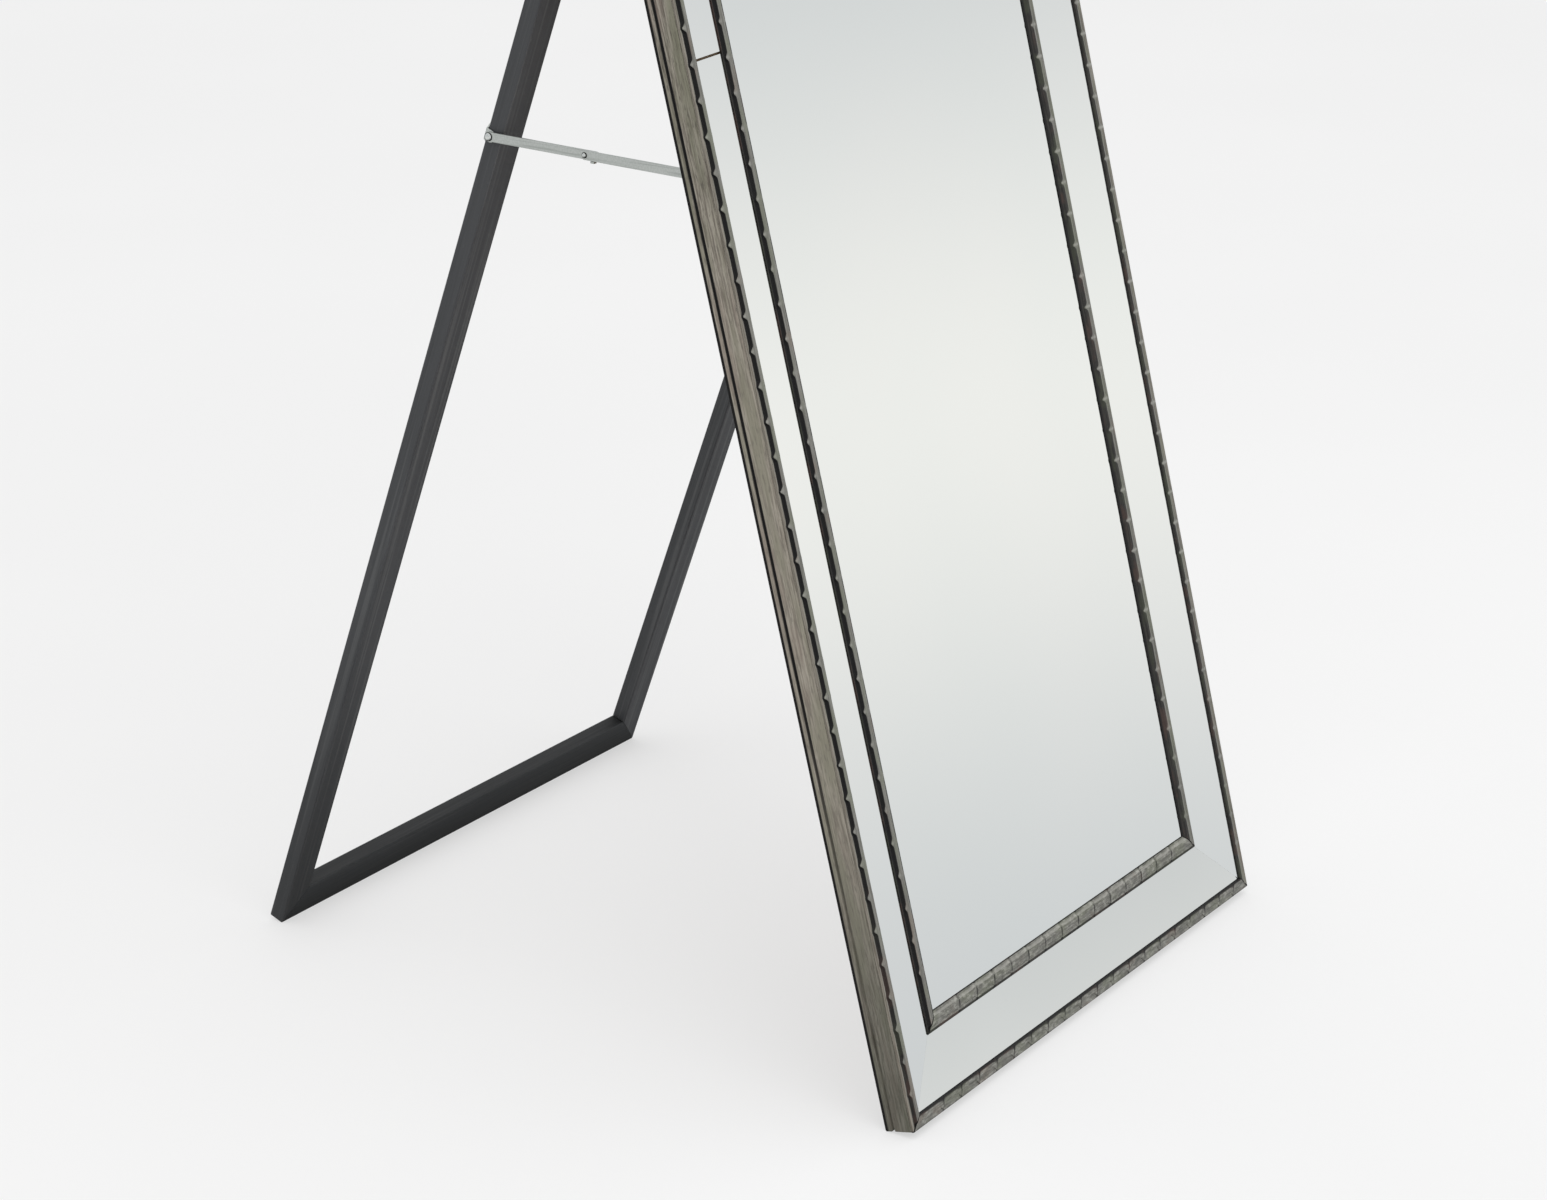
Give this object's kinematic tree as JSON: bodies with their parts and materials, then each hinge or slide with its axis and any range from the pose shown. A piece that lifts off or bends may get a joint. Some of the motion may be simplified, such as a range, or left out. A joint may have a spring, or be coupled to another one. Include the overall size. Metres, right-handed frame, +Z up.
{
  "type": "leaning floor mirror",
  "caption": "Tall framed floor mirror with a sloping mirror-glass border between carved mouldings, leaning on a hinged easel that a folding steel stay holds open.",
  "frame": {"origin": "on the floor, under the middle of the open mirror's outline", "axes": "+Z up, +X along the mirror's width to the viewer's right, -Y the way the glass faces"},
  "size_m": [0.6, 0.7376, 1.7652],
  "materials": {
    "frame_wood": "aged grey-brown painted wood, satin, with a fine grain along the bar",
    "carved_wood": "carved wood in antique silver paint, rubbed, satin",
    "board": "raw hardboard and softwood, matt",
    "easel_wood": "dark grey stain, satin, fine straight grain",
    "mirror_glass": "silvered float glass with polished edges",
    "zinc": "zinc-plated steel, satin"
  },
  "bodies": {
    "mirror": {"frame_left": "frame_wood", "outer_moulding_left": "carved_wood", "inner_moulding_left": "carved_wood", "border_batten_left": "board", "frame_right": "frame_wood", "outer_moulding_right": "carved_wood", "inner_moulding_right": "carved_wood", "border_batten_right": "board", "frame_bottom": "frame_wood", "outer_moulding_bottom": "carved_wood", "inner_moulding_bottom": "carved_wood", "border_batten_bottom": "board", "frame_top": "frame_wood", "outer_moulding_top": "carved_wood", "inner_moulding_top": "carved_wood", "border_batten_top": "board", "border_glass_left_lower": "mirror_glass", "border_glass_left_upper": "mirror_glass", "border_glass_right_lower": "mirror_glass", "border_glass_right_upper": "mirror_glass", "border_glass_bottom": "mirror_glass", "border_glass_top": "mirror_glass", "mirror_pane": "mirror_glass", "back_board": "board", "hinge_left_mirror_leaf": "zinc", "hinge_left_pin": "zinc", "hinge_right_mirror_leaf": "zinc", "hinge_right_pin": "zinc", "hinge_mirror_screw_left_1": "zinc", "hinge_mirror_screw_left_2": "zinc", "hinge_mirror_screw_right_1": "zinc", "hinge_mirror_screw_right_2": "zinc", "stay_mirror_bracket": "zinc", "stay_mirror_screw_1": "zinc", "stay_mirror_screw_2": "zinc", "stay_mirror_rivet": "zinc"},
    "easel": {"easel_leg_left": "easel_wood", "easel_leg_right": "easel_wood", "easel_rail_bottom": "easel_wood", "easel_rail_top": "easel_wood", "hinge_left_easel_leaf": "zinc", "hinge_right_easel_leaf": "zinc", "hinge_easel_screw_left_1": "zinc", "hinge_easel_screw_left_2": "zinc", "hinge_easel_screw_right_1": "zinc", "hinge_easel_screw_right_2": "zinc", "stay_leg_bracket": "zinc", "stay_leg_screw_1": "zinc", "stay_leg_screw_2": "zinc", "stay_leg_rivet": "zinc"},
    "stay_front": {"stay_front_link": "zinc", "stay_middle_rivet": "zinc"},
    "stay_rear": {"stay_rear_link": "zinc", "stay_middle_rivet_tail": "zinc"}
  },
  "joints": [
    {"name": "easel_fold", "type": "hinge", "parent": "mirror", "child": "easel", "pos_m": [0, -0.05872, 1.11593], "axis": [-1, 0, 0], "range_deg": [0, 34.3]},
    {"name": "stay_front_pivot", "type": "hinge", "parent": "mirror", "child": "stay_front", "pos_m": [0, -0.14078, 0.79225], "axis": [-1, 0, 0], "range_deg": [0, 103.1]},
    {"name": "stay_rear_pivot", "type": "hinge", "parent": "easel", "child": "stay_rear", "pos_m": [0, 0.07401, 0.79585], "axis": [-1, 0, 0], "range_deg": [-103.3, 0]}
  ],
  "couplings": [
    {"joint": "stay_front_pivot", "follows": "easel_fold", "ratio": 3.0027},
    {"joint": "stay_rear_pivot", "follows": "easel_fold", "ratio": -3.0088}
  ]
}
